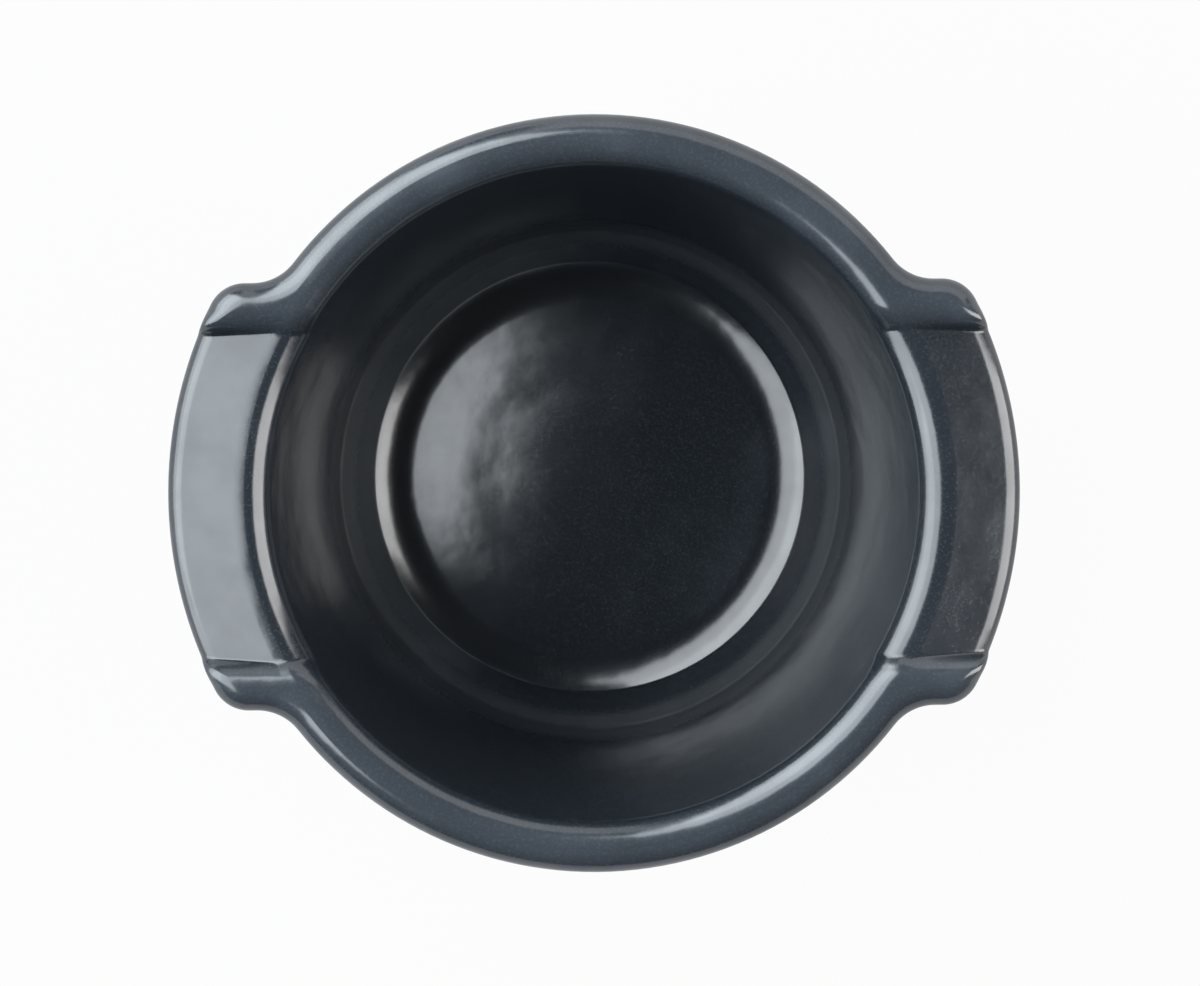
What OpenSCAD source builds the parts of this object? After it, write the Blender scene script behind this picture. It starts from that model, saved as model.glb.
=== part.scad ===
// Round baking dish with two lug handles.
// Millimetres. +Z is up, +X points through the right handle, and the origin is the
// centre of the foot ring's underside. The outside sizes are those over the glaze.

/* [Dish] */
// Diameter of the rim
rim_d = 100; // [90:1:140]
// Height from the foot to the top of the rim
dish_h = 55; // [40:1:80]
// Lean of the wall from upright, in degrees
wall_lean = 12; // [4:0.5:14]
// Thickness of the wall, glaze and all
wall_t = 4.2; // [3.6:0.1:5.5]
// Thickness of the rolled rim
bead_d = 6.6; // [6.2:0.1:9]
// Radius of the cove under the rim
cove_r = 3; // [1.5:0.1:4]

/* [Floor] */
// Height of the lowest part of the floor above the table
floor_z = 6; // [5:0.1:9]
// Rise of the floor's middle above that
floor_rise = 2.4; // [0.4:0.1:3]
// Radius of the round between the floor and the lower wall
floor_round = 4.6; // [3:0.1:6]
// Lean of the lower wall from upright, in degrees
lower_lean = 40; // [25:1:50]
// Height at which the lower wall meets the wall
shoulder_z = 12.8; // [11:0.1:16]
// Radius of the round between the lower wall and the wall
shoulder_r = 4; // [2:0.5:8]
// Radius of the round between the wall and the base, outside
base_round = 14; // [8:0.5:18]

/* [Foot ring] */
// Outer diameter of the foot ring as a share of the rim's
foot_share = 0.66; // [0.6:0.01:0.7]
// Width of the foot ring
foot_w = 4.5; // [3:0.1:7]
// Depth of the hollow inside the foot ring
foot_hollow = 2; // [1:0.1:3]
// Radius of the foot ring's edges
foot_edge = 0.8; // [0.4:0.1:1.2]

/* [Handles] */
// Reach of each handle past the rim
reach = 6.8; // [5:0.1:20]
// Width of each handle
handle_w = 56.3; // [40:0.5:64]
// Radius of the handle's outer corners, seen from above
corner_r = 5; // [4.8:0.1:8]
// Radius of the hollow corner where the handle's side leaves the rim
hollow_r = 6.8; // [3:0.1:9]
// Fall of the panel between the ribs, in degrees
panel_fall = 14; // [6:1:18]
// Depth by which the panel lies below the rim
panel_dip = 1.5; // [0.8:0.1:2]
// Radius of the panel's outer edge
nose_r = 2; // [1.4:0.1:2.4]

/* [Glaze] */
// Thickness of the glaze
glaze_t = 0.4; // [0.2:0.05:0.6]
// Height of the bare band above the foot ring
bare_band = 0.3; // [0.2:0.1:2]

/* [Hidden] */
$fn = 96;
arc_steps = 12;

clay_color = [0.74, 0.68, 0.60];
glaze_color = [0.20, 0.23, 0.26];

overrun = 1;
// Height of the handle's root below the cove
root_skirt = 1;
// Angle by which a cove stops short of the round above it, so that they cross
cove_short = 8;
// Distance by which the dip's round stands out past the wall's face, so that they cross
dip_cross = 0.15;
// Thickness to which the glaze pools against the dip's sides
dip_pool = 1.6;
// Depth to which a handle's root is let into the wall
seat_depth = 0.6;
// Height by which the panel's outer edge stands below its underside
nose_lip = 0.3;
// Section of the rib's rounded end over that of the rib
rib_end_share = 1.15;
// Distance by which the rib's end stays behind the outer edge
rib_end_in = 0.25;
// Share of the hollow corner's arc that the panel fills, and the chords that it takes
fill_share = 0.7;
fill_steps = 3;
// Angle by which the rib's rounded corner laps over its end
corner_lap = 2;

rim_r = rim_d / 2;
bead_r = bead_d / 2;
ring = [rim_r - bead_r, dish_h - bead_r];

across = [cos(wall_lean), -sin(wall_lean)];
along = [-sin(wall_lean), -cos(wall_lean)];

// Point of an arc about c at angle a
function on_arc(c, r, a) = c + r * [cos(a), sin(a)];
// Points of an arc about c, from angle a to angle b
function arc(c, r, a, b, steps = arc_steps) =
    [for (i = [0:steps]) on_arc(c, r, a + (b - a) * i / steps)];
// Angle of the line from p to q
function bearing(p, q) = atan2(q[1] - p[1], q[0] - p[0]);
// Point of the wall's section at height z, at distance out from the middle of the rolled rim
function wall_at(out, z) = [ring[0] + out / cos(wall_lean) + (z - ring[1]) * tan(wall_lean), z];

inner_out = -bead_r;
outer_out = wall_t - bead_r;
root_out = outer_out - glaze_t - seat_depth;

// Where the faces of the wall and the lower wall would meet without their round
shoulder = wall_at(inner_out, shoulder_z);
shoulder_run = shoulder_r * tan((lower_lean - wall_lean) / 2);
shoulder_c = shoulder - shoulder_run * along - shoulder_r * across;
// Point of the lower wall's section at height z, at distance in from its face
function lower_at(into, z) =
    [shoulder[0] - into / cos(lower_lean) - (shoulder_z - z) * tan(lower_lean), z];

floor_c = lower_at(floor_round, floor_z + floor_round);
dome_r = (pow(floor_c[0], 2) - 2 * floor_round * floor_rise + pow(floor_rise, 2)) / (2 * floor_rise);
dome_c = [0, floor_z + floor_rise - dome_r];

base_z = foot_hollow + glaze_t;
base_c = wall_at(outer_out - base_round, foot_hollow + base_round);
foot_r = rim_r * foot_share;
foot_in = foot_r - foot_w;

cove_down = sqrt(pow(bead_r + cove_r, 2) - pow(outer_out + cove_r, 2));
cove_c = ring + (outer_out + cove_r) * across + cove_down * along;

// Radius at which the base round stands at height z, with its face set in by skin
function base_at(z, skin) = base_c[0] + sqrt(pow(base_round - skin, 2) - pow(base_c[1] - z, 2));
// Height at which the base round stands at radius r, with its face set in by skin
function base_over(r, skin) = base_c[1] - sqrt(pow(base_round - skin, 2) - pow(max(r - base_c[0], 0), 2));

foot_top = base_over(foot_r, glaze_t);
glaze_line = foot_top + bare_band;

// Section of the inside, from the rim down to the middle of the floor, set in by skin
function inside(skin) = concat(
    [ring, ring - (bead_r - skin) * across],
    arc(shoulder_c, shoulder_r + skin, -wall_lean, -lower_lean),
    arc(floor_c, floor_round + skin, -lower_lean, -180 + bearing(dome_c, floor_c)),
    arc(dome_c, dome_r - skin, bearing(dome_c, floor_c), 90)
);
// Section of the outside, from angle low of the base round up to the rim, set in by skin
function outside(skin, low) = concat(
    arc(base_c, base_round - skin, low, -wall_lean),
    arc(cove_c, cove_r + skin, 180 - wall_lean, bearing(cove_c, ring) + cove_short)
);

// Foot ring, which is bare
function foot() = concat(
    [[0, base_z], [foot_in, base_z]],
    arc([foot_in + foot_edge, foot_edge], foot_edge, 180, 270),
    arc([foot_r - foot_edge, foot_edge], foot_edge, 270, 360)
);

span_r = rim_r + reach;
side_y = handle_w / 2;
rib_y = side_y - bead_r;

// A place that neighbours share, in hundredths, so that their faces meet
function even(v) = round(v * 100) / 100;

// Plan of the right handle's upper half: hollow corner at the rim, then outer corner
hollow_y = side_y + hollow_r;
hollow_c = [even(sqrt(pow(rim_r + hollow_r, 2) - pow(hollow_y, 2))), hollow_y];
hollow_a = bearing([0, 0], hollow_c);
corner_y = side_y - corner_r;
corner_c = [even(sqrt(pow(span_r - corner_r, 2) - pow(corner_y, 2))), corner_y];
corner_a = bearing([0, 0], corner_c);

root_low = cove_c[1] + cove_r * sin(wall_lean) - root_skirt;
nose_at = span_r - nose_r;
dip_c = ring + panel_dip * along - dip_cross * across;
// Where the panel's crest meets the round of the rib
dip_y = rib_y - sqrt(pow(bead_r, 2) - pow(bead_r - panel_dip, 2));
panel_top = on_arc(dip_c, bead_r, 90 - panel_fall);
nose_z = panel_top[1] - (nose_at - panel_top[0]) * tan(panel_fall) - nose_r / cos(panel_fall);
nose = [nose_at, nose_z];
web_z = nose_z - nose_r + nose_lip;

module rim_bead(skin) {
    translate(ring) circle(r = bead_r - skin);
}

// Fired clay of the floor, wall, rim and foot ring, all the way round
module clay_round() {
    low = bearing(base_c, [foot_r, foot_top]);
    rotate_extrude() {
        polygon(concat(foot(), outside(glaze_t, low), inside(glaze_t)));
        rim_bead(glaze_t);
    }
}

// Room for a handle's root, outside the face that it seats on
module root_room() {
    rotate_extrude(start = -hollow_a, angle = 2 * hollow_a) polygon([
        wall_at(root_out, root_low),
        [span_r, root_low],
        [span_r, dish_h + overrun],
        wall_at(root_out, dish_h + overrun)
    ]);
}

// Room over the right handle's panel, down to the rim's lower round, out to distance side
module dip_room(skin, side) {
    past = dip_c - (bead_r + overrun) * across;
    intersection() {
        rotate_extrude(start = -hollow_a, angle = 2 * hollow_a) polygon(concat(
            arc(dip_c, bead_r - skin, 180 - wall_lean, 90),
            [
                [span_r, dip_c[1] + bead_r - skin],
                [span_r, dish_h + overrun],
                [past[0], dish_h + overrun],
                past
            ]
        ));
        translate([0, -side, 0]) cube([span_r + overrun, 2 * side, dish_h + 2 * overrun]);
    }
}

// Clay with the dip in its rim at both handles
module clay_dipped() {
    difference() {
        clay_round();
        dip_room(glaze_t, dip_y + dip_pool);
        mirror([1, 0, 0]) dip_room(glaze_t, dip_y + dip_pool);
    }
}

module bowl() {
    color(clay_color) difference() {
        clay_dipped();
        root_room();
        mirror([1, 0, 0]) root_room();
    }
}

// Cove under the handle's root, upper half in plan
module root_cove() {
    rotate_extrude(start = 0, angle = hollow_a) polygon(concat(
        [wall_at(root_out - overrun, root_low), wall_at(outer_out, root_low)],
        arc(cove_c, cove_r, 180 - wall_lean, bearing(cove_c, ring) + cove_short),
        [ring, wall_at(root_out - overrun, ring[1])]
    ));
}

// Plan of the panel's upper half, out to chords of the middle of the rib
module panel_plan() {
    polygon(concat(
        [[0, 0]],
        arc(hollow_c, hollow_r + bead_r, 270 - (90 - hollow_a) * fill_share, 270, fill_steps),
        arc(corner_c, corner_r - bead_r, 90, corner_a, fill_steps),
        [[span_r + overrun, (span_r + overrun) * tan(corner_a)], [span_r + overrun, 0]]
    ));
}

// Half of the panel between the ribs, falling outwards to a round edge
module panel() {
    back = panel_top - (bead_r - nose_r) * [cos(panel_fall), -sin(panel_fall)];
    intersection() {
        rotate_extrude(start = 0, angle = hollow_a) {
            polygon([
                back,
                [back[0], web_z],
                [nose[0], web_z],
                nose,
                on_arc(nose, nose_r, 90 - panel_fall)
            ]);
            translate(nose) circle(r = nose_r);
        }
        linear_extrude(dish_h + overrun) panel_plan();
    }
}

// Inner half of the rib, rounded off where it meets the outer edge
module rib_end() {
    end_r = bead_r * rib_end_share;
    end_at = span_r - rib_end_in - end_r;
    intersection() {
        translate([corner_c[0], rib_y, ring[1]]) rotate([0, 90, 0])
            cylinder(r = bead_r, h = span_r - corner_c[0]);
        rotate_extrude(start = 0, angle = corner_a) {
            translate([end_at, ring[1]]) circle(r = end_r);
            translate([corner_r, ring[1] - bead_r]) square([end_at - corner_r, bead_d]);
        }
    }
}

// Rib along one side of the handle, from the rim round to the outer edge
module rib() {
    translate([hollow_c[0], hollow_c[1], ring[1]])
        rotate_extrude(start = 180 + hollow_a, angle = 90 - hollow_a)
            translate([hollow_r + bead_r, 0]) circle(r = bead_r);
    translate([hollow_c[0], rib_y, ring[1]]) rotate([0, 90, 0])
        cylinder(r = bead_r, h = corner_c[0] - hollow_c[0]);
    translate([corner_c[0], corner_c[1], ring[1]])
        rotate_extrude(start = corner_a - corner_lap, angle = 90 - corner_a + corner_lap) intersection() {
            translate([corner_r - bead_r, 0]) circle(r = bead_r);
            translate([0, -bead_r]) square([corner_r, bead_d]);
        }
    rib_end();
}

// Upper half of the right handle in plan, cut off at the face that its root seats on
module half_handle() {
    difference() {
        union() {
            panel();
            root_cove();
            rib();
        }
        rotate_extrude() polygon([
            [0, root_low - overrun],
            wall_at(root_out, root_low - overrun),
            wall_at(root_out, dish_h + overrun),
            [0, dish_h + overrun]
        ]);
    }
}

module handle() {
    half_handle();
    mirror([0, 1, 0]) half_handle();
}

module right_handle() {
    color(glaze_color) handle();
}

module left_handle() {
    color(glaze_color) mirror([1, 0, 0]) handle();
}

// Coat over the inside, the rim and the outside, down to the bare foot
module glaze() {
    low = bearing(base_c, [base_at(glaze_line, 0), glaze_line]);
    color(glaze_color) difference() {
        rotate_extrude() {
            polygon(concat([[0, glaze_line]], outside(0, low), inside(0)));
            rim_bead(0);
        }
        clay_dipped();
        dip_room(0, dip_y);
        mirror([1, 0, 0]) dip_room(0, dip_y);
        root_room();
        mirror([1, 0, 0]) root_room();
    }
}

// Disc of glaze in the hollow of the foot ring
module base_glaze() {
    color(glaze_color) translate([0, 0, foot_hollow]) cylinder(r = foot_in, h = glaze_t);
}

bowl();
left_handle();
right_handle();
glaze();
base_glaze();
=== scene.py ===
"""Round baking dish with two lug handles: its glaze coat, finishes, lamps and camera."""

import math

import bpy
import numpy as np
from mathutils import Matrix, Vector


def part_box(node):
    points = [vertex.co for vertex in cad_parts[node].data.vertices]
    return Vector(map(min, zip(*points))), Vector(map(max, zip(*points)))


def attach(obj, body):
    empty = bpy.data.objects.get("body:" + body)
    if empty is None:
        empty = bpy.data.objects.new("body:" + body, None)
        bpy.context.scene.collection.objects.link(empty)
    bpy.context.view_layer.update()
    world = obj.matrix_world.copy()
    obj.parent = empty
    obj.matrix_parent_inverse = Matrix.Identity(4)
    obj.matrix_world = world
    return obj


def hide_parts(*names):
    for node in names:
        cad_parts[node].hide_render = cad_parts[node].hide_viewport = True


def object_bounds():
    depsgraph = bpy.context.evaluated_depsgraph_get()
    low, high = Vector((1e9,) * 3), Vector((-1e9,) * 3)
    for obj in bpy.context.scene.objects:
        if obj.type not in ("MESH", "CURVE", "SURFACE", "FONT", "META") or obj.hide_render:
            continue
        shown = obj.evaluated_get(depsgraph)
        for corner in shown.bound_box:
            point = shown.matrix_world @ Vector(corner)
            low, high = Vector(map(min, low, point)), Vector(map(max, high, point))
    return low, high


bl_info = {
    "name": "Round baking dish",
    "version": (1, 0, 0),
    "blender": (4, 5, 0),
    "location": "View3D > Sidebar > Dish",
    "description": "Makes the glazed pieces of a round baking dish, and its studio",
    "category": "Object",
}

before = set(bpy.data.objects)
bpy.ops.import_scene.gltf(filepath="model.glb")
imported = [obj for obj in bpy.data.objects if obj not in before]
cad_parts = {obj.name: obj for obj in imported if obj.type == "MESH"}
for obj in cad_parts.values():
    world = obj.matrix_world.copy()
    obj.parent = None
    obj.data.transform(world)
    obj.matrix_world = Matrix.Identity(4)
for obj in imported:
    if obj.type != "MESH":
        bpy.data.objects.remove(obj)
CAD_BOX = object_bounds()
GLAZE_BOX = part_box("glaze")
BASE_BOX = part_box("base_glaze")
GLAZE_LINE = GLAZE_BOX[0][2]

UP = Vector((0.0, 0.0, 1.0))

# The photograph's frame, and where the dish lies in it, in pixels
IMAGE_WIDTH, IMAGE_HEIGHT = 1200, 986
DISH_X, DISH_Y = 595.4, 496.1
RIM_RADIUS_IN_IMAGE = 379.5
SENSOR = 36.0

# Small fixed lengths, in metres
ROOT_OUT = -0.0001
LUG_ROOT_DROP = 0.00603
FLOOR_GAP = 0.00002
SWEEP_HALF = 4.0


# Sizes and colours that a user would change


class DishSizes(bpy.types.PropertyGroup):
    """Sizes of the dish, over its glaze"""

    rim_radius: bpy.props.FloatProperty(
        name="Rim radius", description="Outer radius of the rim", default=GLAZE_BOX[1][1], unit="LENGTH"
    )
    height: bpy.props.FloatProperty(
        name="Height", description="Height from the table to the rim", default=CAD_BOX[1][2], unit="LENGTH"
    )
    bead: bpy.props.FloatProperty(
        name="Bead radius", description="Radius of the rolled rim's section", default=0.0033, unit="LENGTH"
    )
    roll: bpy.props.FloatProperty(
        name="Roll radius",
        description="Radius of the rim's inner half, where the glaze lies thickest",
        default=0.0035,
        unit="LENGTH",
    )
    roll_in: bpy.props.FloatProperty(
        name="Roll set in",
        description="Distance of the rim's inner half from its outer half",
        default=0.0002,
        unit="LENGTH",
    )
    bow: bpy.props.FloatProperty(
        name="Wall bow",
        description="Angle by which the inside of the wall leans more at its foot and less at its top",
        default=math.radians(2.0),
        subtype="ANGLE",
    )
    lean: bpy.props.FloatProperty(
        name="Wall lean",
        description="Lean of the wall from upright",
        default=math.radians(12.0),
        subtype="ANGLE",
    )
    wall: bpy.props.FloatProperty(
        name="Wall", description="Thickness of the wall", default=0.0042, unit="LENGTH"
    )
    floor_height: bpy.props.FloatProperty(
        name="Floor height",
        description="Height of the lowest ring of the floor",
        default=0.006,
        unit="LENGTH",
    )
    floor_round: bpy.props.FloatProperty(
        name="Floor round",
        description="Radius of the slow round outside the ring",
        default=0.011,
        unit="LENGTH",
    )
    floor_turn: bpy.props.FloatProperty(
        name="Floor turn",
        description="Slope at which the slow round ends",
        default=math.radians(29.0),
        subtype="ANGLE",
    )
    corner_round: bpy.props.FloatProperty(
        name="Corner round",
        description="Radius of the round at the foot of the lower wall",
        default=0.0014,
        unit="LENGTH",
    )
    lower_lean: bpy.props.FloatProperty(
        name="Lower wall lean",
        description="Lean of the lower wall from upright",
        default=math.radians(40.0),
        subtype="ANGLE",
    )
    shoulder: bpy.props.FloatProperty(
        name="Shoulder",
        description="Height at which the lower wall meets the wall",
        default=0.0128,
        unit="LENGTH",
    )
    shoulder_round: bpy.props.FloatProperty(
        name="Shoulder round",
        description="Radius of the round between the lower wall and the wall",
        default=0.003,
        unit="LENGTH",
    )
    ring_round: bpy.props.FloatProperty(
        name="Ring round",
        description="Radius of the hollow ring round the raised floor",
        default=0.0082,
        unit="LENGTH",
    )
    ring_turn: bpy.props.FloatProperty(
        name="Ring turn",
        description="Slope at which the hollow ring ends",
        default=math.radians(19.3),
        subtype="ANGLE",
    )
    reach: bpy.props.FloatProperty(
        name="Handle reach",
        description="Distance of the handle's outer edge from the dish's axis",
        default=0.0563,
        unit="LENGTH",
    )
    handle_half: bpy.props.FloatProperty(
        name="Half handle width", description="Half of a handle's width", default=0.02815, unit="LENGTH"
    )
    hollow: bpy.props.FloatProperty(
        name="Hollow corner",
        description="Radius where the handle's side leaves the rim",
        default=0.0068,
        unit="LENGTH",
    )
    corner: bpy.props.FloatProperty(
        name="Outer corner", description="Radius of the handle's corners", default=0.005, unit="LENGTH"
    )
    panel_fall: bpy.props.FloatProperty(
        name="Panel fall",
        description="Fall of the panel between the ribs",
        default=math.radians(12.0),
        subtype="ANGLE",
    )
    panel_edge: bpy.props.FloatProperty(
        name="Panel edge", description="Radius of the panel's outer edge", default=0.0021, unit="LENGTH"
    )
    panel_dip: bpy.props.FloatProperty(
        name="Panel dip",
        description="Depth of the panel below the rim and the ribs",
        default=0.0015,
        unit="LENGTH",
    )
    crease: bpy.props.FloatProperty(
        name="Crease",
        description="Width over which the glaze rounds the crease beside a rib",
        default=0.0014,
        unit="LENGTH",
    )
    cove: bpy.props.FloatProperty(
        name="Cove", description="Size of the cove under the rim", default=0.0026, unit="LENGTH"
    )
    base_round: bpy.props.FloatProperty(
        name="Base round",
        description="Radius between the outside of the wall and the base",
        default=0.014,
        unit="LENGTH",
    )
    hollow_height: bpy.props.FloatProperty(
        name="Base hollow",
        description="Depth of the hollow inside the foot ring",
        default=0.002,
        unit="LENGTH",
    )
    coat: bpy.props.FloatProperty(
        name="Coat", description="Thickness of the glaze", default=0.0004, unit="LENGTH"
    )


class DishColours(bpy.types.PropertyGroup):
    """Colours of the glaze and of the bare clay"""

    slate: bpy.props.FloatVectorProperty(
        name="Glaze", description="Colour of the glaze", default=(0.012, 0.016, 0.021), subtype="COLOR"
    )
    # Paler tone: painted highlight on the top of rim and handles, and random paler patches and grain in the
    # glaze
    pale_tone_and_highlight: bpy.props.FloatVectorProperty(
        name="Thin glaze",
        description="Colour where the glaze runs thin over an edge",
        default=(0.053, 0.063, 0.076),
        subtype="COLOR",
    )
    # Darker tone: painted shade in the hollow ring round the raised floor, where the glaze also pools
    pooled_and_shaded: bpy.props.FloatVectorProperty(
        name="Pooled glaze",
        description="Colour where the glaze lies thick",
        default=(0.006, 0.008, 0.011),
        subtype="COLOR",
    )
    clay: bpy.props.FloatVectorProperty(
        name="Clay", description="Colour of the bare stoneware", default=(0.42, 0.35, 0.27), subtype="COLOR"
    )
    gloss: bpy.props.FloatProperty(
        name="Roughness", description="Roughness of the glaze", default=0.18, min=0.0, max=1.0
    )


class DishStudio(bpy.types.PropertyGroup):
    """Camera, lamps and room"""

    distance: bpy.props.FloatProperty(
        name="Distance", description="Distance of the camera from the rim", default=0.6, unit="LENGTH"
    )
    tilt: bpy.props.FloatProperty(
        name="Tilt",
        description="Angle of the view from straight down",
        default=math.radians(3.2),
        subtype="ANGLE",
    )
    lean: bpy.props.FloatProperty(
        name="Lean",
        description="Angle by which the view comes from the right",
        default=math.radians(-0.95),
        subtype="ANGLE",
    )
    turn: bpy.props.FloatProperty(
        name="Turn",
        description="Turn of the image about the view",
        default=math.radians(0.38),
        subtype="ANGLE",
    )
    window: bpy.props.FloatProperty(
        name="Window light", description="Power of the large soft lamp", default=59.52, unit="POWER"
    )
    low_window: bpy.props.FloatProperty(
        name="Low window light",
        description="Power of the low part of the window",
        default=6.4,
        unit="POWER",
    )
    side: bpy.props.FloatProperty(
        name="Side light", description="Power of the lamp on the right", default=33.0, unit="POWER"
    )
    back: bpy.props.FloatProperty(
        name="Back light", description="Power of the lamp at the back", default=5.0, unit="POWER"
    )
    room: bpy.props.FloatProperty(name="Room", description="Light of the room", default=0.03, min=0.0)


# Plan of the dish, seen from above

# Angle from a handle's corner past the crease, over which the skin's columns lie close
CREASE_SPAN = math.radians(5.5)


class Plan:
    """Outline of rim and handles from above, folded into the quarter where x and y are positive"""

    def __init__(self, s):
        self.s = s
        hollow_y = s.handle_half + s.hollow
        hollow_x = math.sqrt((s.rim_radius + s.hollow) ** 2 - hollow_y**2)
        corner_y = s.handle_half - s.corner
        corner_x = math.sqrt((s.reach - s.corner) ** 2 - corner_y**2)
        self.hollow_at = np.array([hollow_x, hollow_y])
        self.corner_at = np.array([corner_x, corner_y])
        self.root_angle = math.atan2(hollow_y, hollow_x)
        self.corner_angle = math.atan2(corner_y, corner_x)

    def quarter(self, rim=26, hollow=14, side=2, corner=16, crease=22, edge=22):
        """Points from the rim's far side round to the middle of the right handle's edge"""
        s = self.s
        hx, hy = self.hollow_at
        cx, cy = self.corner_at
        past_crease = self.corner_angle - CREASE_SPAN
        parts = [
            arc((0.0, 0.0), s.rim_radius, math.pi / 2, self.root_angle, rim),
            arc((hx, hy), s.hollow, self.root_angle + math.pi, 1.5 * math.pi, hollow)[1:],
            line((hx, s.handle_half), (cx, s.handle_half), side)[1:],
            arc((cx, cy), s.corner, math.pi / 2, self.corner_angle, corner)[1:],
            arc((0.0, 0.0), s.reach, self.corner_angle, past_crease, crease)[1:],
            arc((0.0, 0.0), s.reach, past_crease, 0.0, edge)[1:],
        ]
        return np.vstack(parts)

    def depth(self, x, y):
        """Distance in from the handle's sides, and from the whole outline"""
        s = self.s
        x, y = np.abs(x), np.abs(y)
        r = np.hypot(x, y)
        angle = np.arctan2(y, x)
        in_rim = s.rim_radius - r
        in_hollow = np.hypot(x - self.hollow_at[0], y - self.hollow_at[1]) - s.hollow
        in_side = np.where(x >= self.hollow_at[0], s.handle_half - y, in_hollow)
        side = np.where(angle >= self.root_angle, in_rim, in_side)
        at_corner = (x > self.corner_at[0]) & (angle > self.corner_angle)
        in_corner = s.corner - np.hypot(x - self.corner_at[0], y - self.corner_at[1])
        whole = np.where(at_corner, in_corner, np.minimum(side, s.reach - r))
        whole = np.where(angle >= self.root_angle, in_rim, whole)
        return side, whole


def arc(centre, radius, start, end, steps):
    """Points of an arc about centre"""
    a = np.linspace(start, end, steps + 1)
    return np.stack([centre[0] + radius * np.cos(a), centre[1] + radius * np.sin(a)], 1)


def line(start, end, steps):
    """Points of a straight line"""
    t = np.linspace(0.0, 1.0, steps + 1)[:, None]
    return np.array(start) * (1 - t) + np.array(end) * t


def quarter_round(depth, radius):
    """Drop of a rounded edge at a distance in from the outline"""
    short = np.clip(radius - depth, 0.0, radius)
    return radius - np.sqrt(np.maximum(radius**2 - short**2, 0.0))


def smooth_step(t):
    """Nought below nought, one above one, smooth between"""
    t = np.clip(t, 0.0, 1.0)
    return t * t * (3 - 2 * t)


def smooth_least(a, b, blend):
    """The smaller of a and b, rounded over where they are nearly equal"""
    blend = np.maximum(blend, 1e-9)
    h = np.clip(0.5 + 0.5 * (b - a) / blend, 0.0, 1.0)
    return b * (1 - h) + a * h - blend * h * (1 - h)


# Sections of the dish, as points of radius and height


def wall_line(s, out):
    """Point of the wall's section beside the bead, at a distance out from its middle"""
    return np.array(
        [
            s.rim_radius - s.bead + out * math.cos(s.lean),
            s.height - s.bead - out * math.sin(s.lean),
        ]
    )


def down_wall(s, point, height):
    """Radius at which the wall through point stands at a height"""
    return point[0] + (height - point[1]) * math.tan(s.lean)


# Slope of the raised floor as a share of that at its edge, at shares of its radius
FLOOR_SLOPE = ((0.0, 0.3, 0.5, 0.6, 0.78, 1.0), (0.0, 0.5, 0.85, 0.6, 0.95, 1.0))
FLOOR_EDGE_FALL = math.radians(9.0)
FLOOR_SAMPLES = 400
# Share of a round's radius past which it goes on straight, short of upright
STEEP_PAST = 0.97
# Times that the wall's lean is worked out anew, each nearer than the last
LEAN_ROUNDS = 12
# Steps along an underside before the cove cuts it
UNDER_SAMPLES = 48


def inner_wall(s):
    """Middle of the rim's inner half, the shoulder's corner, and the wall's leans at its foot and top"""
    roll_at = np.array([s.rim_radius - s.bead - s.roll_in, s.height - s.roll])
    corner = np.array([down_wall(s, wall_line(s, -s.bead), s.shoulder), s.shoulder])
    lean = s.lean
    for _ in range(LEAN_ROUNDS):
        top = roll_at + s.roll * np.array([-math.cos(lean - s.bow), math.sin(lean - s.bow)])
        lean = math.atan2(*(top - corner))
    return roll_at, corner, lean + s.bow, lean - s.bow


def bowed(start, end, start_lean, end_lean, steps):
    """Points of a wall that leans by one angle at its foot and by another at its top"""
    a = np.array([math.sin(start_lean), math.cos(start_lean)])
    b = np.array([math.sin(end_lean), math.cos(end_lean)])
    reach = np.linalg.solve(np.array([a, b]).T, end - start)[0]
    t = np.linspace(0.0, 1.0, steps + 1)[:, None]
    return (1 - t) ** 2 * start + 2 * t * (1 - t) * (start + a * reach) + t**2 * end


def lower_wall(s, corner, lean):
    """Middle of the round above the lower wall, and the radius at which that wall would meet the floor"""
    run = s.shoulder_round * math.tan((s.lower_lean - lean) / 2)
    up = np.array([math.sin(lean), math.cos(lean)])
    in_wall = np.array([-math.cos(lean), math.sin(lean)])
    shoulder_at = corner + up * run + in_wall * s.shoulder_round
    return shoulder_at, corner[0] - (s.shoulder - s.floor_height) * math.tan(s.lower_lean)


def rounds(start, turns, steps):
    """Points of rounds that follow each other, given as radius and end of turn, from level at start"""
    points = []
    turned = 0.0
    for radius, end in turns:
        middle = start + radius * np.array([-math.sin(turned), math.cos(turned)])
        points.append(arc(middle, radius, turned - math.pi / 2, end - math.pi / 2, steps)[1:])
        start = points[-1][-1]
        turned = end
    return np.vstack(points)


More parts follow.
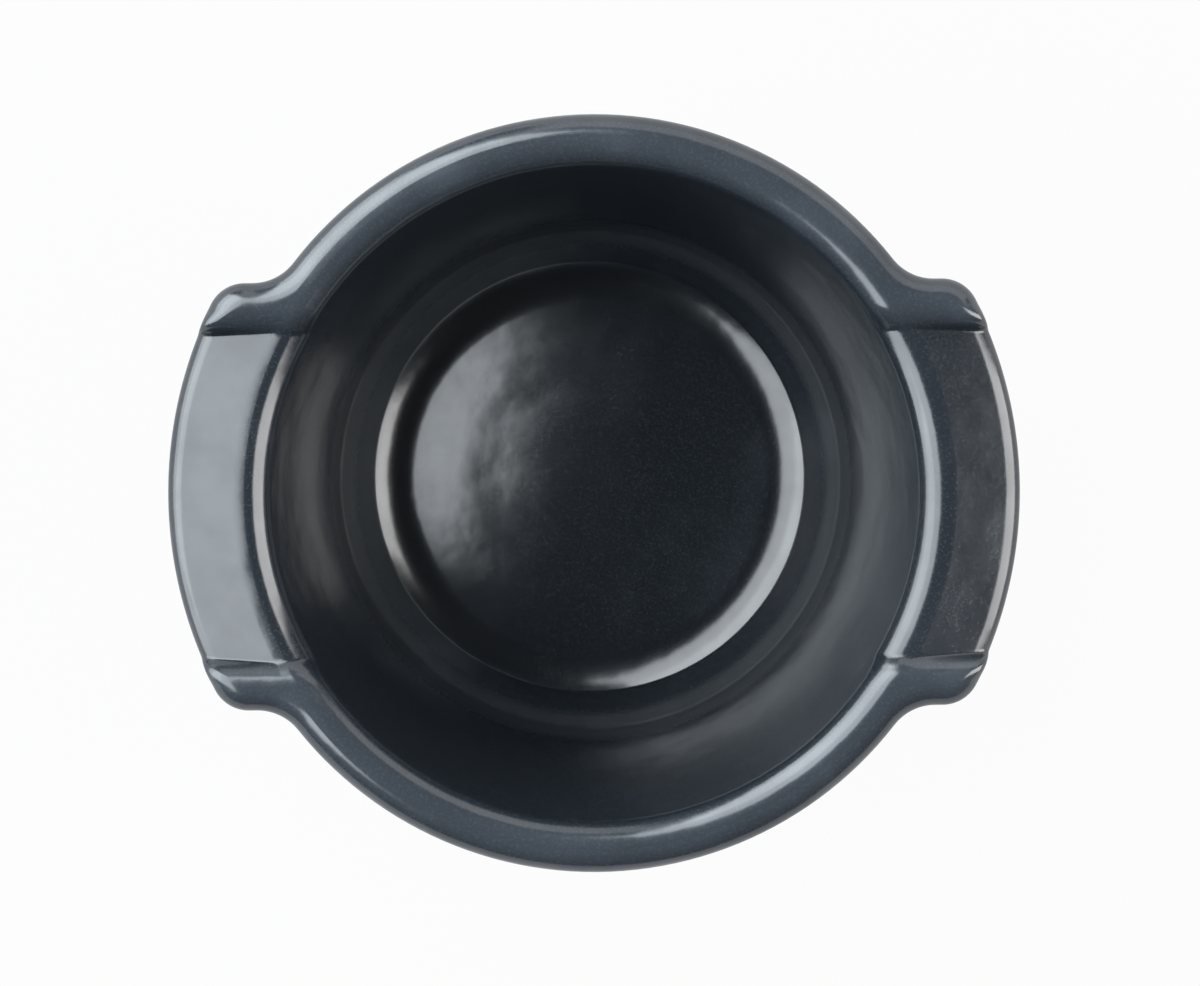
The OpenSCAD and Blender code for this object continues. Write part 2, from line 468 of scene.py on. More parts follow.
def inside_section(s, floor=14, ring=6, rounding=7, lower=4, shoulder=6, wall=8, roll=14):
    """From the middle of the floor out and up to the rim's crest, with the dip's share at each point"""
    roll_at, corner, foot_lean, top_lean = inner_wall(s)
    shoulder_at, meet = lower_wall(s, corner, foot_lean)
    turns = (
        (s.ring_round, s.ring_turn),
        (s.floor_round, s.floor_turn),
        (s.corner_round, math.pi / 2 - s.lower_lean),
    )
    rising = rounds(np.zeros(2), turns, rounding)
    bottom_r = meet + rising[-1][1] * math.tan(s.lower_lean) - rising[-1][0]
    bottom = np.array([bottom_r, s.floor_height])
    rising = rising + bottom
    ring_at = bottom + np.array([0.0, s.ring_round])
    edge = ring_at - s.ring_round * np.array([math.sin(FLOOR_EDGE_FALL), math.cos(FLOOR_EDGE_FALL)])
    radii = np.linspace(0.0, edge[0], FLOOR_SAMPLES)
    slope = math.tan(FLOOR_EDGE_FALL) * np.interp(radii / edge[0], *FLOOR_SLOPE)
    fall = np.concatenate([[0.0], np.cumsum((slope[1:] + slope[:-1]) / 2 * np.diff(radii))])
    heights = edge[1] + fall[-1] - fall
    floor_r = np.linspace(0.0, edge[0], floor + 1)
    down = -math.pi / 2
    shoulder_arc = arc(shoulder_at, s.shoulder_round, -s.lower_lean, -foot_lean, shoulder)
    roll_arc = arc(roll_at, s.roll, math.pi - top_lean, math.pi / 2, roll)
    parts = [
        np.stack([floor_r, np.interp(floor_r, radii, heights)], 1),
        arc(ring_at, s.ring_round, down - FLOOR_EDGE_FALL, down, ring)[1:],
        rising,
        line(rising[-1], shoulder_arc[0], lower)[1:],
        shoulder_arc[1:],
        bowed(shoulder_arc[-1], roll_arc[0], foot_lean, top_lean, wall)[1:],
        roll_arc[1:],
    ]
    section = np.vstack(parts)
    share = np.zeros(len(section))
    share[-roll - wall : -roll] = np.arange(1, wall + 1) / wall
    share[-roll:] = 1.0
    return section, share


def rounded_drop(run, radius):
    """Drop of a round at a distance from its crest, steep and straight past most of its radius"""
    bound = STEEP_PAST * radius
    near = np.minimum(run, bound)
    slope = bound / math.sqrt(radius**2 - bound**2)
    return radius - np.sqrt(radius**2 - near**2) + (run - near) * slope


def rib_drop(s, y):
    """Drop from a rib's crest towards the handle's middle"""
    run = np.maximum(s.handle_half - s.bead - np.abs(y), 0.0)
    return rounded_drop(run, s.bead)


def with_crease(s, panel, rib):
    """The higher of panel and rib, with glaze rounding the crease between them, as a drop"""
    return np.maximum(smooth_least(panel, rib, np.minimum(s.crease, 2.0 * rib)), 0.0)


def top_height(s, plan, x, y):
    """Height of the rim's outer half and of the handle's panel and ribs"""
    r = np.hypot(x, y)
    side, whole = plan.depth(x, y)
    out = np.maximum(r - s.rim_radius + s.bead + s.panel_dip * math.tan(s.lean), 0.0)
    turn = s.bead * math.sin(s.panel_fall)
    on_bead = s.bead - np.sqrt(s.bead**2 - np.minimum(out, turn) ** 2)
    on_panel = s.bead * (1 - math.cos(s.panel_fall)) + (out - turn) * math.tan(s.panel_fall)
    panel = s.panel_dip + np.where(out < turn, on_bead, on_panel)
    in_handle = np.arctan2(np.abs(y), np.abs(x)) < plan.root_angle
    drop = np.where(in_handle, with_crease(s, panel, rib_drop(s, y)), 0.0)
    toward_rib = smooth_step((1.25 * s.bead + s.crease - side) / (0.75 * s.bead))
    edge = np.where(in_handle, s.panel_edge + (s.bead - s.panel_edge) * toward_rib, s.bead)
    return s.height - drop - quarter_round(whole, edge)


class Skin:
    """Grid of points over the whole glazed surface, from the middle of the floor to the foot"""

    def __init__(self, s, over=34, under=14, cove=6, wall=8, base=8):
        self.plan = Plan(s)
        quarter = self.plan.quarter()
        loop = np.concatenate(
            [
                quarter[:-1],
                (quarter * [1, -1])[::-1][:-1],
                (quarter * [-1, -1])[:-1],
                (quarter * [-1, 1])[::-1][:-1],
            ]
        )
        self.columns = len(loop)
        self.angle = np.arctan2(loop[:, 1], loop[:, 0])
        self.edge_r = np.hypot(loop[:, 0], loop[:, 1])
        section, share = inside_section(s)
        self.middle = section[0][1]
        rows = [self.dipped(s, r, z, part) for (r, z), part in zip(section[1:], share[1:])]
        self.crest = len(rows)
        rows += self.over_rows(s, over)
        rows += self.under_rows(s, rows[-1], under, cove)
        root_z = s.height - s.bead - LUG_ROOT_DROP
        outside = wall_line(s, s.wall - s.bead)
        self.foot = len(rows)
        rows.append((np.full(self.columns, down_wall(s, outside, root_z)), np.full(self.columns, root_z)))
        rows += self.wall_rows(s, outside, root_z, wall, base)
        r = np.stack([row[0] for row in rows])
        z = np.stack([row[1] for row in rows])
        self.points = np.stack([r * np.cos(self.angle), r * np.sin(self.angle), z], 2)
        self.normals = self.find_normals()

    def dipped(self, s, r, z, part):
        """A row of the inside, moved down the wall by its part of the dip between the ribs"""
        tangent_r = wall_line(s, -s.bead)[0]
        y = max(r, tangent_r) * np.sin(self.angle)
        in_handle = np.abs(np.cos(self.angle)) > math.cos(self.plan.root_angle)
        dip = with_crease(s, np.full(self.columns, s.panel_dip), rib_drop(s, y))
        dip = np.where(in_handle, dip, 0.0) * part
        return r - dip * math.tan(s.lean), z - dip

    def over_rows(self, s, steps):
        """From the handle's root line over the rim, panel and ribs out to the outline"""
        root_r = down_wall(s, wall_line(s, ROOT_OUT), s.height)
        rows = []
        for j in range(steps + 1):
            share = math.sin(math.pi / 2 * j / steps)
            r = root_r + (self.edge_r - root_r) * share
            near = r * 0.99999
            z = top_height(s, self.plan, near * np.cos(self.angle), near * np.sin(self.angle))
            rows.append((r, z))
        return rows

    def under_rows(self, s, edge, steps, cove_steps):
        """From the outline back under the rim and handles, and through the cove to the wall"""
        outside = wall_line(s, s.wall - s.bead)
        low = np.minimum(s.height - 2 * s.bead, edge[1] - s.panel_edge)
        wall_r = down_wall(s, outside, low)
        lower_round = edge[1] - low
        path_r = [edge[0]]
        path_z = [edge[1]]
        for j in range(1, UNDER_SAMPLES + 1):
            share = 1 - math.cos(math.pi / 2 * j / UNDER_SAMPLES)
            r = self.edge_r + (wall_r - self.edge_r) * share
            depth = self.plan.depth(r * np.cos(self.angle), r * np.sin(self.angle))[1]
            path_r.append(r)
            path_z.append(low + quarter_round(np.maximum(depth, 0.0), lower_round))
        path = np.stack([np.stack(path_r), np.stack(path_z)], 2)
        ends = [self.under_column(s, path[:, i], outside, steps, cove_steps) for i in range(self.columns)]
        grid = np.stack(ends, 1)
        return [(grid[j, :, 0], grid[j, :, 1]) for j in range(grid.shape[0])]

    def under_column(self, s, path, outside, steps, cove_steps):
        """One column of the underside: the path up to the cove, then the cove's curve"""
        over = path[:, 0] - down_wall(s, outside, path[:, 1])
        k = max(int(np.argmax(over <= 1e-9)), 1) if (over <= 1e-9).any() else len(path) - 1
        share = over[k - 1] / (over[k - 1] - over[k]) if over[k - 1] != over[k] else 1.0
        corner = path[k - 1] + (path[k] - path[k - 1]) * share
        path = np.vstack([path[:k], corner])
        run = np.concatenate([[0.0], np.cumsum(np.hypot(*np.diff(path, axis=0).T))])
        size = min(s.cove, 0.55 * run[-1])
        stop = run[-1] - size
        start = np.array([np.interp(stop, run, path[:, 0]), np.interp(stop, run, path[:, 1])])
        down = np.array([-math.sin(s.lean), -math.cos(s.lean)])
        end = corner + down * size
        k = min(int(np.searchsorted(run, stop)), len(path) - 1)
        along = path[k] - path[k - 1]
        along = along / np.hypot(*along)
        reach = np.linalg.solve(np.array([along, -down]).T, end - start)[0]
        control = start + along * reach
        at = stop * (1 - np.cos(np.pi / 2 * np.arange(1, steps + 1) / steps))
        first = np.stack([np.interp(at, run, path[:, 0]), np.interp(at, run, path[:, 1])], 1)
        t = np.arange(1, cove_steps + 1)[:, None] / cove_steps
        second = (1 - t) ** 2 * start + 2 * t * (1 - t) * control + t**2 * end
        return np.vstack([first, second])

    def wall_rows(self, s, outside, top, steps, base_steps):
        """Down the outside of the wall and round to the bare foot"""
        middle_z = s.hollow_height + s.base_round
        middle = np.array([down_wall(s, outside, middle_z) - s.base_round / math.cos(s.lean), middle_z])
        low = -math.asin((middle_z - GLAZE_LINE) / s.base_round)
        base = arc(middle, s.base_round, -s.lean, low, base_steps)
        wall = line((down_wall(s, outside, top), top), base[0], steps)[1:]
        section = np.vstack([wall, base[1:]])
        return [(np.full(self.columns, r), np.full(self.columns, z)) for r, z in section]

    def find_normals(self):
        """Outward normals from the neighbours of each point"""
        p = self.points
        middle = np.zeros((1,) + p.shape[1:])
        middle[..., 2] = self.middle
        padded = np.concatenate([middle, p, p[-1:] + (p[-1:] - p[-2:-1])])
        along = padded[2:] - padded[:-2]
        across = np.roll(p, -1, axis=1) - np.roll(p, 1, axis=1)
        n = np.cross(across, along)
        return n / np.linalg.norm(n, axis=2, keepdims=True)

    def handle_columns(self, side):
        """First and last column of a handle, side being 1 on the right and -1 on the left"""
        quarter = self.columns // 4
        rim = int(np.argmax(self.angle < self.plan.root_angle + 1e-9))
        first = rim if side > 0 else 2 * quarter + rim
        return first, first + 2 * (quarter - rim)


# Meshes


def plain_mesh(name, points, faces, normals=None):
    """A smooth mesh object from points and faces, without its unused points"""
    used = sorted({i for face in faces for i in face})
    place = {old: new for new, old in enumerate(used)}
    mesh = bpy.data.meshes.new(name)
    mesh.from_pydata(points[used].tolist(), [], [[place[i] for i in face] for face in faces])
    mesh.validate()
    mesh.update()
    mesh.polygons.foreach_set("use_smooth", [True] * len(mesh.polygons))
    if normals is not None:
        per_loop = []
        for polygon in mesh.polygons:
            for vertex in polygon.vertices:
                n = normals[used[vertex]]
                facing = polygon.normal.dot(Vector(n)) > 0.2
                per_loop.append(n if facing else tuple(polygon.normal))
        mesh.normals_split_custom_set(per_loop)
    piece = bpy.data.objects.new(name, mesh)
    bpy.context.scene.collection.objects.link(piece)
    return piece


def quads(first_row, last_row, columns, width):
    """Faces of the grid between two rows, over a run of columns"""
    faces = []
    for j in range(first_row, last_row):
        for i in columns:
            k = (i + 1) % width
            faces.append([j * width + i, j * width + k, (j + 1) * width + k, (j + 1) * width + i])
    return faces


def open_edges(faces):
    """Edges that one face alone uses, in that face's direction"""
    edges = set()
    for face in faces:
        for a, b in zip(face, face[1:] + face[:1]):
            if (b, a) in edges:
                edges.remove((b, a))
            else:
                edges.add((a, b))
    return sorted(edges)


def bowl_coat(s, skin):
    """The coat over the bowl: a thin closed shell with an opening for each handle's root"""
    rows, width = skin.points.shape[:2]
    handles = set()
    for side in (1, -1):
        first, last = skin.handle_columns(side)
        handles.update(range(first, last))
    rim_only = [i for i in range(width) if i not in handles]
    outer = quads(0, skin.crest, range(width), width)
    outer += quads(skin.crest, skin.foot, rim_only, width)
    outer += quads(skin.foot, rows - 1, range(width), width)
    middle = rows * width
    outer += [[middle, (i + 1) % width, i] for i in range(width)]
    points = np.vstack([skin.points.reshape(-1, 3), [[0.0, 0.0, skin.middle]]])
    normals = np.vstack([skin.normals.reshape(-1, 3), [[0.0, 0.0, 1.0]]])
    count = len(points)
    inner = [[i + count for i in reversed(face)] for face in outer]
    between = [[b, a, a + count, b + count] for a, b in open_edges(outer)]
    points = np.vstack([points, points - normals * s.coat])
    normals = np.vstack([normals, -normals])
    return plain_mesh("glaze_coat", points, outer + inner + between, normals)


def handle_coat(s, skin, name, side):
    """One handle over its whole glazed surface, closed where its root sits against the wall"""
    rows, width = skin.points.shape[:2]
    first, last = skin.handle_columns(side)
    outer = quads(skin.crest, skin.foot, [i % width for i in range(first, last)], width)
    points = skin.points.reshape(-1, 3)
    normals = skin.normals.reshape(-1, 3)
    ledge_z = skin.points[skin.foot, 0, 2]
    inner_r = down_wall(s, wall_line(s, ROOT_OUT), ledge_z)
    ledge = [[inner_r * math.cos(a), inner_r * math.sin(a), ledge_z] for a in skin.angle]
    start = len(points)
    points = np.vstack([points, ledge])
    normals = np.vstack([normals, np.zeros((width, 3))])
    root = []
    for i in range(first, last):
        a, b = i % width, (i + 1) % width
        root.append([skin.foot * width + a, skin.foot * width + b, start + b, start + a])
        root.append([start + a, start + b, skin.crest * width + b, skin.crest * width + a])
    ends = []
    for column, way in ((first % width, 1), (last % width, -1)):
        loop = [j * width + column for j in range(skin.crest, skin.foot + 1)] + [start + column]
        ends.append(loop[::way])
    return plain_mesh(name, points, outer + root + ends, normals)


# Geometry Nodes: a form turned on the axis from the section that its mesh holds

TURN_SEGMENTS = 192


def turned_tree(name):
    """The node tree that turns a section round the axis and welds its poles"""
    tree = bpy.data.node_groups.new(name, "GeometryNodeTree")
    face = tree.interface
    face.new_socket(name="Geometry", in_out="INPUT", socket_type="NodeSocketGeometry")
    segments = face.new_socket(name="Segments", in_out="INPUT", socket_type="NodeSocketInt")
    segments.default_value = TURN_SEGMENTS
    face.new_socket(name="Finish", in_out="INPUT", socket_type="NodeSocketMaterial")
    face.new_socket(name="Geometry", in_out="OUTPUT", socket_type="NodeSocketGeometry")
    made = {}
    for label, kind in (
        ("in", "NodeGroupInput"),
        ("section", "GeometryNodeMeshToCurve"),
        ("rail", "GeometryNodeCurvePrimitiveCircle"),
        ("upright", "GeometryNodeSetCurveNormal"),
        ("turn", "GeometryNodeCurveToMesh"),
        ("weld", "GeometryNodeMergeByDistance"),
        ("smooth", "GeometryNodeSetShadeSmooth"),
        ("real", "GeometryNodeRealizeInstances"),
        ("finish", "GeometryNodeSetMaterial"),
        ("out", "NodeGroupOutput"),
    ):
        made[label] = tree.nodes.new(kind)
    made["upright"].mode = "Z_UP"
    made["rail"].inputs["Radius"].default_value = 1e-6
    made["weld"].inputs["Distance"].default_value = 1e-5
    for source, output, target, socket in (
        ("in", "Geometry", "section", "Mesh"),
        ("in", "Segments", "rail", "Resolution"),
        ("rail", "Curve", "upright", "Curve"),
        ("upright", "Curve", "turn", "Curve"),
        ("section", "Curve", "turn", "Profile Curve"),
        ("turn", "Mesh", "weld", "Geometry"),
        ("weld", "Geometry", "smooth", "Geometry"),
        ("smooth", "Geometry", "real", "Geometry"),
        ("real", "Geometry", "finish", "Geometry"),
        ("in", "Finish", "finish", "Material"),
        ("finish", "Geometry", "out", "Geometry"),
    ):
        tree.links.new(made[source].outputs[output], made[target].inputs[socket])
    return tree


def turned_piece(name, section, segments, finish):
    """A closed piece of revolution from a section that starts and ends on the axis"""
    mesh = bpy.data.meshes.new(name + "_section")
    flat = [(-r, -z, 0.0) for r, z in section]
    mesh.from_pydata(flat, [(i, i + 1) for i in range(len(flat) - 1)], [])
    holder = bpy.data.objects.new(name + "_section", mesh)
    bpy.context.scene.collection.objects.link(holder)
    tree = turned_tree("Turned form")
    modifier = holder.modifiers.new("Turned form", "NODES")
    modifier.node_group = tree
    named = {item.name: item.identifier for item in tree.interface.items_tree if item.in_out == "INPUT"}
    modifier[named["Segments"]] = segments
    modifier[named["Finish"]] = finish
    depsgraph = bpy.context.evaluated_depsgraph_get()
    result = bpy.data.meshes.new_from_object(holder.evaluated_get(depsgraph))
    holder.modifiers.remove(modifier)
    bpy.data.objects.remove(holder)
    result.name = name
    piece = bpy.data.objects.new(name, result)
    bpy.context.scene.collection.objects.link(piece)
    return piece


# Finishes


class Value:
    """A socket of a finish's node tree, with arithmetic that adds Math nodes"""

    def __init__(self, finish, socket):
        self.finish = finish
        self.socket = socket

    def math(self, operation, *others):
        inputs = {i: other for i, other in enumerate((self,) + others)}
        return self.finish.add("ShaderNodeMath", {"operation": operation}, inputs)["Value"]

    def __add__(self, other):
        return self.math("ADD", other)

    __radd__ = __add__

    def __mul__(self, other):
        return self.math("MULTIPLY", other)

    __rmul__ = __mul__

    def __sub__(self, other):
        return self.math("SUBTRACT", other)

    def __rsub__(self, other):
        return (self * -1.0) + other

    def __pow__(self, other):
        return self.math("POWER", other)

    def share(self, low, high):
        """Nought below low, one above high, smooth between"""
        inputs = {"Value": self, "From Min": low, "From Max": high}
        return self.finish.add("ShaderNodeMapRange", {"interpolation_type": "SMOOTHSTEP"}, inputs)["Result"]


class Finish:
    """A material and the nodes that make it"""

    def __init__(self, name):
        self.material = bpy.data.materials.new(name)
        self.material.use_nodes = True
        self.tree = self.material.node_tree
        self.shader = self.tree.nodes["Principled BSDF"]
        self.place = self.add("ShaderNodeTexCoord")["Object"]

    def add(self, kind, settings=None, inputs=None):
        """Adds a node, sets its settings, then its inputs, and returns its outputs by name"""
        node = self.tree.nodes.new(kind)
        for key, value in (settings or {}).items():
            setattr(node, key, value)
        for key, value in (inputs or {}).items():
            self.plug(node.inputs[key], value)
        return {out.name: Value(self, out) for out in node.outputs if out.enabled}

    def plug(self, socket, value):
        """Links a value to a socket, or sets a number or colour on it"""
        if isinstance(value, Value):
            self.tree.links.new(value.socket, socket)
        else:
            socket.default_value = value

    def noise(self, scale, detail=2.0, roughness=0.5):
        """Soft noise at so many cells to the metre"""
        inputs = {"Vector": self.place, "Scale": scale, "Detail": detail, "Roughness": roughness}
        return self.add("ShaderNodeTexNoise", {"noise_dimensions": "3D"}, inputs)["Fac"]

    def mix(self, factor, a, b):
        """Colour a where factor is nought and b where it is one"""
        a, b = (colour if isinstance(colour, Value) else (*colour, 1.0) for colour in (a, b))
        return self.add("ShaderNodeMix", {"data_type": "RGBA"}, {0: factor, 6: a, 7: b})["Result"]

    def bump(self, height, distance):
        """A normal from a height, at so many metres for a height of one"""
        return self.add("ShaderNodeBump", None, {"Height": height, "Distance": distance})["Normal"]

    def set(self, **sockets):
        """Sets sockets of the surface's shader, named with _ for a space"""
        for name, value in sockets.items():
            socket = self.shader.inputs[name.replace("_", " ")]
            if isinstance(value, tuple) and len(value) == 3:
                value = (*value, 1.0)
            self.plug(socket, value)


# Heights and radii, in metres, between which a change in the glaze comes in: painted highlight at the top,
# painted shade in the hollow ring, duller gloss on the shoulder
CREST_DEPTH, CREST_TOP = 0.0022, 0.0001
RING_START, RING_END, RING_TOP = (0.0245, 0.0262), (0.0285, 0.032), (0.008, 0.012)
SHOULDER_LOW, SHOULDER_TOP, INSIDE_END = (0.0095, 0.0115), (0.015, 0.019), (0.0372, 0.0376)


def glaze_finish(colours, height):
    """Dark slate glaze: paler at the top, partly painted highlight and partly where the glaze is thinner over
    the rim, with random paler patches and grain; darker in the hollow ring, painted shade where the glaze
    also pools; duller on the shoulder
    """
    f = Finish("slate_glaze")
    x, y, z = (f.add("ShaderNodeSeparateXYZ", None, {"Vector": f.place})[axis] for axis in "XYZ")
    drift = f.noise(70.0, 3.0)
    cloud = f.noise(85.0, 3.0, 0.6)
    grain = f.noise(2600.0, 2.0, 0.6)
    swell = f.noise(150.0, 1.5)
    ripple = f.noise(520.0, 2.0, 0.55)
    # Painted highlight: the top of the rim and handles is mixed towards the paler tone, partly also where the
    # glaze is thinner
    crest = z.share(height - CREST_DEPTH, height - CREST_TOP)
    pale_tone_and_highlight = crest * (0.35 + drift * 0.5) + drift.share(0.55, 0.75) * 0.18 + grain.share(0.45, 0.75) * 0.3
    colour = f.mix(pale_tone_and_highlight, tuple(colours.slate), tuple(colours.pale_tone_and_highlight))
    radius = (x * x + y * y) ** 0.5
    # Painted shade: the hollow ring round the raised floor is mixed towards the darker tone
    ring = radius.share(*RING_START) * (1.0 - radius.share(*RING_END)) * (1.0 - z.share(*RING_TOP))
    colour = f.mix(ring * 0.7, colour, tuple(colours.pooled_and_shaded))
    shoulder = z.share(*SHOULDER_LOW) * (1.0 - z.share(*SHOULDER_TOP)) * (1.0 - radius.share(*INSIDE_END))
    rough = colours.gloss + 0.05 * (drift - 0.5) + 0.06 * grain.share(0.5, 0.8) + 0.3 * shoulder
    sheen = 0.15 + cloud.share(0.3, 0.7) * 0.45
    normal = f.bump(swell + ripple * 0.1 + grain * 0.006, 0.00012)
    f.set(Base_Color=colour, Roughness=rough, Normal=normal, Coat_Weight=sheen, Coat_Roughness=0.18, IOR=1.78)
    return f.material


def clay_finish(colours):
    """Bare stoneware of the foot ring: warm, dry, with fine iron specks"""
    f = Finish("bare_stoneware")
    drift = f.noise(90.0, 3.0)
    grit = f.noise(1500.0, 3.0, 0.7)
    specks = f.add("ShaderNodeTexVoronoi", None, {"Vector": f.place, "Scale": 900.0})["Distance"]
    dark = tuple(c * 0.35 for c in colours.clay)
    pale = tuple(min(c * 1.25, 1.0) for c in colours.clay)
    colour = f.mix(drift.share(0.3, 0.7), tuple(colours.clay), pale)
    colour = f.mix((1.0 - specks.share(0.12, 0.2)) * grit.share(0.45, 0.6), colour, dark)
    f.set(Base_Color=colour, Roughness=0.72 + 0.2 * grit, Normal=f.bump(grit, 0.0002))
    return f.material


# Share of plain white in the sweep, to the camera and in gloss
FLOOR_SEEN, FLOOR_IN_GLOSS = 0.955, 0.2


def floor_finish():
    """White sweep that shows white to the camera and in gloss, and keeps the dish's shadow"""
    f = Finish("white_sweep")
    f.set(Base_Color=(0.35, 0.35, 0.35), Roughness=0.9)
    ray = f.add("ShaderNodeLightPath")
    in_gloss = ray["Is Glossy Ray"] + ray["Is Transmission Ray"]
    seen = (ray["Is Camera Ray"] * FLOOR_SEEN + in_gloss * FLOOR_IN_GLOSS).math("MINIMUM", FLOOR_SEEN)
    lit = Value(f, f.shader.outputs["BSDF"])
    glow = f.add("ShaderNodeEmission", None, {"Color": (1.0, 1.0, 1.0, 1.0), "Strength": 1.0})["Emission"]
    surface = f.add("ShaderNodeMixShader", None, {0: seen, 1: lit, 2: glow})["Shader"]
    f.plug(f.tree.nodes["Material Output"].inputs["Surface"], surface)
    return f.material


def finish_named(name, make, *args):
    """The material of that name, made on its first use"""
    found = bpy.data.materials.get(name)
    return found if found is not None else make(*args)


def the_glaze():
    """The one glaze that all the dish's coats share"""
    scene = bpy.context.scene
    return finish_named("slate_glaze", glaze_finish, scene.dish_colours, scene.dish_sizes.height)


# Operators


class DISH_OT_bowl_coat(bpy.types.Operator):
    """Make the glaze coat over the bowl"""

    bl_idname = "dish.bowl_coat"
    bl_label = "Glaze the bowl"

    def execute(self, context):
        s = context.scene.dish_sizes
        coat = bowl_coat(s, Skin(s))
        coat.data.materials.append(the_glaze())
        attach(coat, "root")
        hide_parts("glaze")
        return {"FINISHED"}


class DISH_OT_handles(bpy.types.Operator):
    """Make the two glazed lug handles"""

    bl_idname = "dish.handles"
    bl_label = "Glaze the handles"

    def execute(self, context):
        s = context.scene.dish_sizes
        skin = Skin(s)
        for name, node, side in (("right_lug", "right_handle", 1), ("left_lug", "left_handle", -1)):
            lug = handle_coat(s, skin, name, side)
            lug.data.materials.append(the_glaze())
            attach(lug, "root")
            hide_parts(node)
        return {"FINISHED"}


# Edge of the base's glaze, drawn up against the foot ring: width, rise and steps
DRAWN_WIDTH, DRAWN_RISE, DRAWN_STEPS = 0.0016, 0.00025, 8


class DISH_OT_base(bpy.types.Operator):
    """Make the disc of glaze inside the foot ring, with its drawn-up edge"""

    bl_idname = "dish.base"
    bl_label = "Glaze the base"

    def execute(self, context):
        radius = BASE_BOX[1][0]
        bottom, top = BASE_BOX[0][2], BASE_BOX[1][2]
        section = [(0.0, top), (radius, top), (radius, bottom)]
        for t in np.linspace(0.0, 1.0, DRAWN_STEPS + 1)[1:]:
            rise = DRAWN_RISE * math.sqrt(1 - (1 - t) ** 2)
            section.append((radius - DRAWN_WIDTH * t, bottom + rise))
        section.append((radius * 0.6, bottom + 0.8 * DRAWN_RISE))
        section.append((0.0, bottom + 0.6 * DRAWN_RISE))
        base = turned_piece("base_coat", section, TURN_SEGMENTS, the_glaze())
        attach(base, "root")
        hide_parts("base_glaze")
        return {"FINISHED"}


class DISH_OT_clay(bpy.types.Operator):
    """Give the fired clay its bare stoneware finish"""

    bl_idname = "dish.clay"
    bl_label = "Finish the clay"

    def execute(self, context):
        clay = finish_named("bare_stoneware", clay_finish, context.scene.dish_colours)
        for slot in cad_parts["bowl"].material_slots:
            slot.material = clay
        return {"FINISHED"}


def looking(position, target, up):
    """Matrix of a camera or lamp at position that faces target"""
    z = (position - target).normalized()
    x = up.cross(z).normalized()
    y = z.cross(x)
    columns = Matrix((x, y, z)).transposed().to_4x4()
    return Matrix.Translation(position) @ columns


def soft_lamp(name, target, azimuth, from_zenith, distance, size, power, colour=(1.0, 1.0, 1.0)):
    """A soft rectangular lamp, placed by its direction from the dish"""
    light = bpy.data.lights.new(name, "AREA")
    light.color = colour
    light.shape = "RECTANGLE"
    light.size, light.size_y = size
    light.energy = power
    lamp = bpy.data.objects.new(name, light)
    a, e = math.radians(azimuth), math.radians(from_zenith)
    toward = Vector((math.sin(e) * math.cos(a), math.sin(e) * math.sin(a), math.cos(e)))
    lamp.matrix_world = looking(target + toward * distance, target, UP)
    lamp.visible_camera = False
    bpy.context.scene.collection.objects.link(lamp)


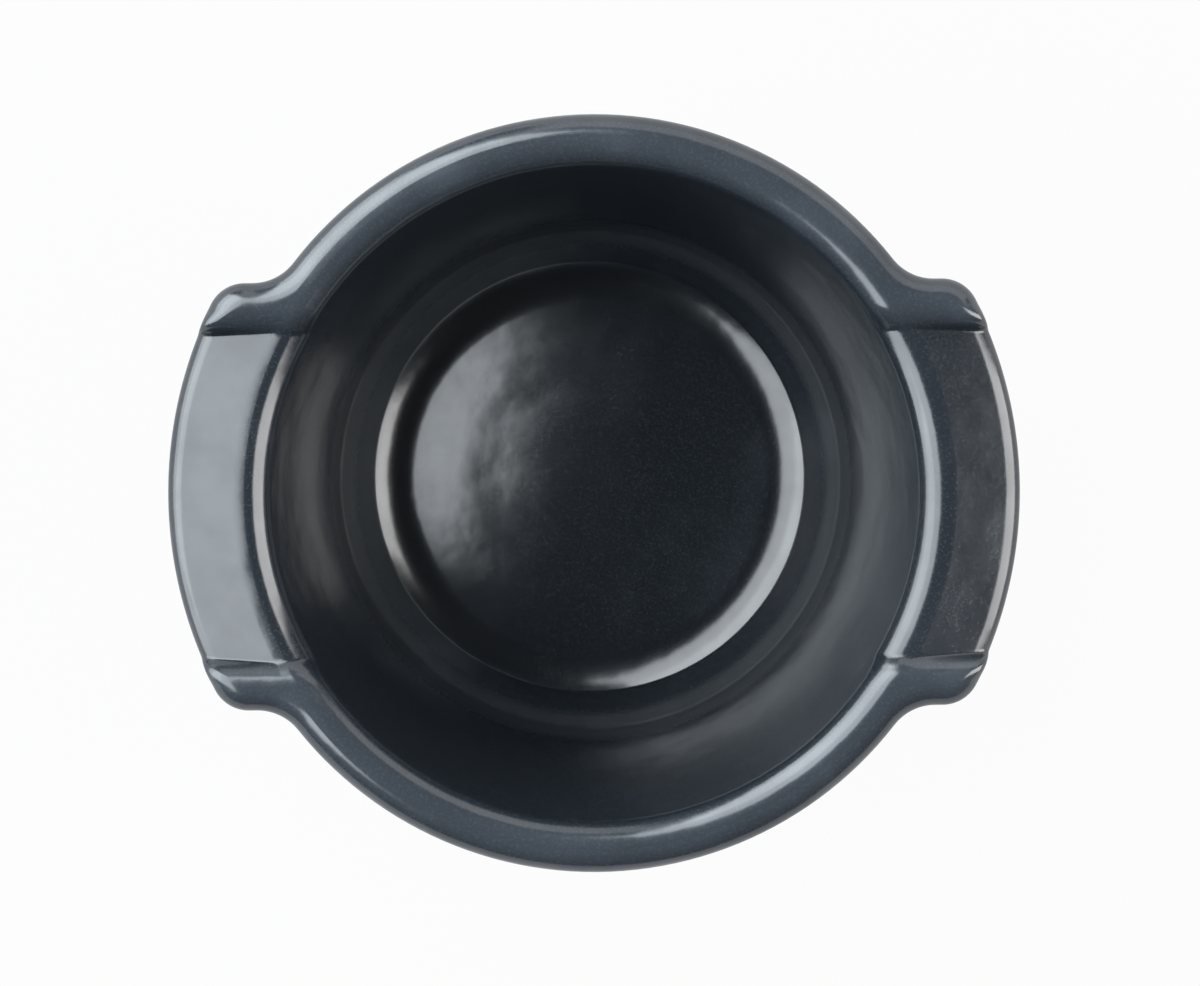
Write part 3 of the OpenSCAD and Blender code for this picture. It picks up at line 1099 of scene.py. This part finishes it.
class DISH_OT_stage(bpy.types.Operator):
    """Set out the white sweep, the soft lamps and the camera"""

    bl_idname = "dish.stage"
    bl_label = "Set the stage"

    def execute(self, context):
        scene = context.scene
        studio = scene.dish_studio
        s = scene.dish_sizes
        target = Vector((0.0, 0.0, s.height))
        plan = ((-1, -1), (1, -1), (1, 1), (-1, 1))
        corners = np.array([[x * SWEEP_HALF, y * SWEEP_HALF, -FLOOR_GAP] for x, y in plan])
        floor = plain_mesh("sweep", corners, [[0, 1, 2, 3]])
        floor.data.materials.append(floor_finish())
        daylight = (0.93, 1.0, 1.05)
        soft_lamp("window", target, 163.0, 56.0, 1.2, (2.55, 2.14), studio.window, daylight)
        soft_lamp("low_window", target, 150.0, 55.0, 1.15, (2.0, 0.75), studio.low_window, daylight)
        soft_lamp("side", target, -4.0, 71.0, 1.6, (1.1, 2.2), studio.side)
        soft_lamp("back", target, 66.0, 74.0, 1.6, (2.0, 1.0), studio.back)
        scene.world = bpy.data.worlds.new("room")
        scene.world.use_nodes = True
        background = scene.world.node_tree.nodes["Background"]
        background.inputs["Color"].default_value = (studio.room, studio.room, studio.room, 1.0)
        data = bpy.data.cameras.new("camera")
        camera = bpy.data.objects.new("camera", data)
        scene.collection.objects.link(camera)
        toward = Vector((math.sin(studio.lean), math.sin(studio.tilt), math.cos(studio.tilt))).normalized()
        top_of_image = Vector((math.sin(studio.turn), math.cos(studio.turn), 0.0))
        camera.matrix_world = looking(target + toward * studio.distance, target, top_of_image)
        data.sensor_width = SENSOR
        seen_width = s.rim_radius * IMAGE_WIDTH / RIM_RADIUS_IN_IMAGE
        data.lens = SENSOR * (studio.distance + s.bead) / seen_width
        data.shift_x = (IMAGE_WIDTH / 2 - DISH_X) / IMAGE_WIDTH
        data.shift_y = (DISH_Y - IMAGE_HEIGHT / 2) / IMAGE_WIDTH
        data.clip_start = 0.01
        scene.camera = camera
        scene.view_settings.view_transform = "Standard"
        return {"FINISHED"}


class DISH_PT_panel(bpy.types.Panel):
    """Dish panel in the sidebar"""

    bl_idname = "DISH_PT_panel"
    bl_label = "Round baking dish"
    bl_space_type = "VIEW_3D"
    bl_region_type = "UI"
    bl_category = "Dish"

    def draw(self, context):
        layout = self.layout
        for group in (context.scene.dish_sizes, context.scene.dish_colours, context.scene.dish_studio):
            column = layout.column()
            for name in group.__annotations__:
                column.prop(group, name)
        for operator in OPERATORS:
            layout.operator(operator.bl_idname)


GROUPS = (DishSizes, DishColours, DishStudio)
OPERATORS = (DISH_OT_clay, DISH_OT_bowl_coat, DISH_OT_handles, DISH_OT_base, DISH_OT_stage)


def register():
    for cls in GROUPS + OPERATORS + (DISH_PT_panel,):
        bpy.utils.register_class(cls)
    bpy.types.Scene.dish_sizes = bpy.props.PointerProperty(type=DishSizes)
    bpy.types.Scene.dish_colours = bpy.props.PointerProperty(type=DishColours)
    bpy.types.Scene.dish_studio = bpy.props.PointerProperty(type=DishStudio)


def unregister():
    del bpy.types.Scene.dish_studio
    del bpy.types.Scene.dish_colours
    del bpy.types.Scene.dish_sizes
    for cls in reversed(GROUPS + OPERATORS + (DISH_PT_panel,)):
        bpy.utils.unregister_class(cls)


def main():
    """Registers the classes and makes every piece"""
    register()
    bpy.ops.dish.stage()
    bpy.ops.dish.clay()
    bpy.ops.dish.bowl_coat()
    bpy.ops.dish.handles()
    bpy.ops.dish.base()


if __name__ == "__main__":
    main()
